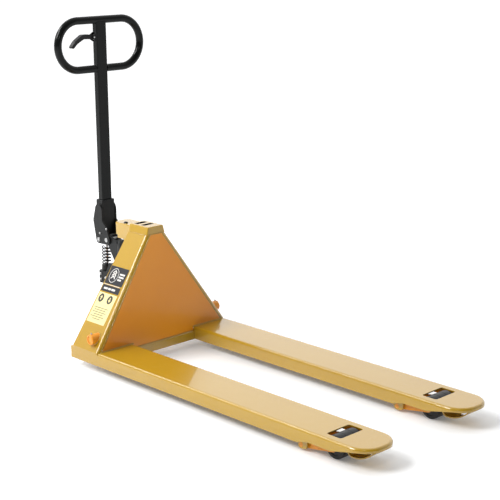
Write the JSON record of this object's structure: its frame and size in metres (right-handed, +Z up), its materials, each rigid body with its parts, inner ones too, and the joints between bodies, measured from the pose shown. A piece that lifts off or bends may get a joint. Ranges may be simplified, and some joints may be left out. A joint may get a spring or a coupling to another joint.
{
  "type": "pallet jack",
  "caption": "Hand pallet jack: two lifting forks on linkage-driven load rollers, a sloping bulkhead, a steerable pump unit and a looped pull handle.",
  "frame": {"origin": "on the floor, at the centre of the overall box in x and y", "axes": "+X towards the fork tips, +Y to the left fork, +Z up"},
  "size_m": [1.599, 0.61, 1.217],
  "materials": {
    "yellow": "gloss",
    "orange": "gloss",
    "black": "gloss",
    "casting": "satin",
    "steel": "satin",
    "chrome": "polished",
    "tyre": "matte",
    "nylon": "satin",
    "lever": "satin"
  },
  "bodies": {
    "frame": {"fork_left": "yellow", "fork_right": "yellow", "fork_stiffeners": "yellow", "pivot_lugs": "yellow", "bracket_pivots": "steel", "nose_shoe_left": "yellow", "nose_shoe_right": "yellow", "side_plate_left": "yellow", "side_plate_right": "yellow", "front_plate": "yellow", "crossmember": "yellow", "head_cap": "yellow", "ram": "chrome", "thrust_ball": "chrome", "shaft_boss_left": "orange", "shaft_boss_right": "orange"},
    "rocker": {"rocker_shaft": "steel", "torsion_tube": "yellow", "rocker_arms": "yellow", "rod_arms": "yellow", "rod_pins": "steel"},
    "carrier": {"thrust_housing": "casting", "trunnion_pins": "steel", "thrust_washer": "steel"},
    "pump": {"pump_body": "casting", "ram_gland": "steel", "pump_barrel": "casting", "piston_spring": "steel", "handle_bracket": "casting", "filler_plug": "steel", "axle_block": "casting", "wheel_axle": "steel", "axle_nuts": "steel"},
    "piston": {"pump_piston": "steel"},
    "valve_lever": {"valve_lever": "casting"},
    "chain": {"release_chain": "steel"},
    "handle": {"handle_base": "black", "handle_pin": "steel", "press_pin": "steel", "handle_tube": "black", "handle_loop": "black", "lever_bracket": "black", "release_lever_pin": "steel"},
    "press_roller": {"press_roller": "steel"},
    "release_lever": {"release_lever": "lever"},
    "release_rod": {"release_rod": "steel"},
    "rod_left": {"push_rod_left": "yellow"},
    "bracket_left": {"load_bracket_left": "yellow", "lever_pin_left": "steel", "roller_axle_left": "steel"},
    "roller_left": {"load_roller_left": "nylon"},
    "wheel_left": {"wheel_hub_left": "casting", "wheel_tyre_left": "tyre"},
    "rod_right": {"push_rod_right": "yellow"},
    "bracket_right": {"load_bracket_right": "yellow", "lever_pin_right": "steel", "roller_axle_right": "steel"},
    "roller_right": {"load_roller_right": "nylon"},
    "wheel_right": {"wheel_hub_right": "casting", "wheel_tyre_right": "tyre"}
  },
  "joints": [
    {"name": "lift", "type": "slide", "parent": "frame", "child": "carrier", "axis": [0, 0, -1], "range_m": [0, 0.115]},
    {"name": "rocker_hinge", "type": "hinge", "parent": "frame", "child": "rocker", "pos_m": [-0.4885, 0, 0.116], "axis": [0, -1, 0], "range_deg": [0, 36.94]},
    {"name": "steer", "type": "hinge", "parent": "carrier", "child": "pump", "pos_m": [-0.6535, 0, 0.224], "axis": [0, 0, 1], "range_deg": [-90, 90]},
    {"name": "handle_tilt", "type": "hinge", "parent": "pump", "child": "handle", "pos_m": [-0.7235, 0, 0.392], "axis": [0, -1, 0], "range_deg": [0, 75], "stiffness_Nm_per_rad": 8, "springref_deg": -40.11},
    {"name": "piston_stroke", "type": "slide", "parent": "pump", "child": "piston", "axis": [0, 0, -1], "range_m": [0, 0.0481], "deforming": ["piston_spring"]},
    {"name": "press_roller_spin", "type": "hinge", "parent": "handle", "child": "press_roller", "pos_m": [-0.7715, 0, 0.3866], "axis": [0, 1, 0], "continuous": true},
    {"name": "release", "type": "hinge", "parent": "handle", "child": "release_lever", "pos_m": [-0.7675, -0.034, 1.142], "axis": [-1, 0, 0], "range_deg": [-8, 16], "stiffness_Nm_per_rad": 3, "springref_deg": 1.72},
    {"name": "release_rod_slide", "type": "slide", "parent": "handle", "child": "release_rod", "axis": [0, 0, -1], "range_m": [-0.0026, 0.0051]},
    {"name": "chain_slide", "type": "slide", "parent": "pump", "child": "chain", "axis": [0, 0, -1], "range_m": [-0.0026, 0.0051]},
    {"name": "valve_hinge", "type": "hinge", "parent": "pump", "child": "valve_lever", "pos_m": [-0.6965, 0, 0.3177], "axis": [0, -1, 0], "range_deg": [-9.4, 18.75]},
    {"name": "bracket_hinge_left", "type": "hinge", "parent": "frame", "child": "bracket_left", "pos_m": [0.5265, 0.225, 0.018], "axis": [0, 1, 0], "range_deg": [0, 62.61]},
    {"name": "roller_spin_left", "type": "hinge", "parent": "bracket_left", "child": "roller_left", "pos_m": [0.6445, 0.225, 0.037], "axis": [0, 1, 0], "continuous": true},
    {"name": "rod_hinge_left", "type": "hinge", "parent": "rocker", "child": "rod_left", "pos_m": [-0.50616, 0.225, 0.0631], "axis": [0, -1, 0], "range_deg": [-36.94, 0]},
    {"name": "wheel_spin_left", "type": "hinge", "parent": "pump", "child": "wheel_left", "pos_m": [-0.6535, 0.076, 0.09], "axis": [0, 1, 0], "continuous": true},
    {"name": "bracket_hinge_right", "type": "hinge", "parent": "frame", "child": "bracket_right", "pos_m": [0.5265, -0.225, 0.018], "axis": [0, 1, 0], "range_deg": [0, 62.61]},
    {"name": "roller_spin_right", "type": "hinge", "parent": "bracket_right", "child": "roller_right", "pos_m": [0.6445, -0.225, 0.037], "axis": [0, 1, 0], "continuous": true},
    {"name": "rod_hinge_right", "type": "hinge", "parent": "rocker", "child": "rod_right", "pos_m": [-0.50616, -0.225, 0.0631], "axis": [0, -1, 0], "range_deg": [-36.94, 0]},
    {"name": "wheel_spin_right", "type": "hinge", "parent": "pump", "child": "wheel_right", "pos_m": [-0.6535, -0.076, 0.09], "axis": [0, 1, 0], "continuous": true}
  ],
  "couplings": [
    {"joint": "rocker_hinge", "follows": "lift", "rad_per_m": 5.6038},
    {"joint": "piston_stroke", "follows": "handle_tilt", "m_per_rad": 0.036669},
    {"joint": "release_rod_slide", "follows": "release", "m_per_rad": 0.018},
    {"joint": "chain_slide", "follows": "release", "m_per_rad": 0.018},
    {"joint": "valve_hinge", "follows": "release", "ratio": 1.1688},
    {"joint": "bracket_hinge_left", "follows": "lift", "rad_per_m": 9.4984},
    {"joint": "rod_hinge_left", "follows": "lift", "rad_per_m": -5.6038},
    {"joint": "bracket_hinge_right", "follows": "lift", "rad_per_m": 9.4984},
    {"joint": "rod_hinge_right", "follows": "lift", "rad_per_m": -5.6038}
  ]
}
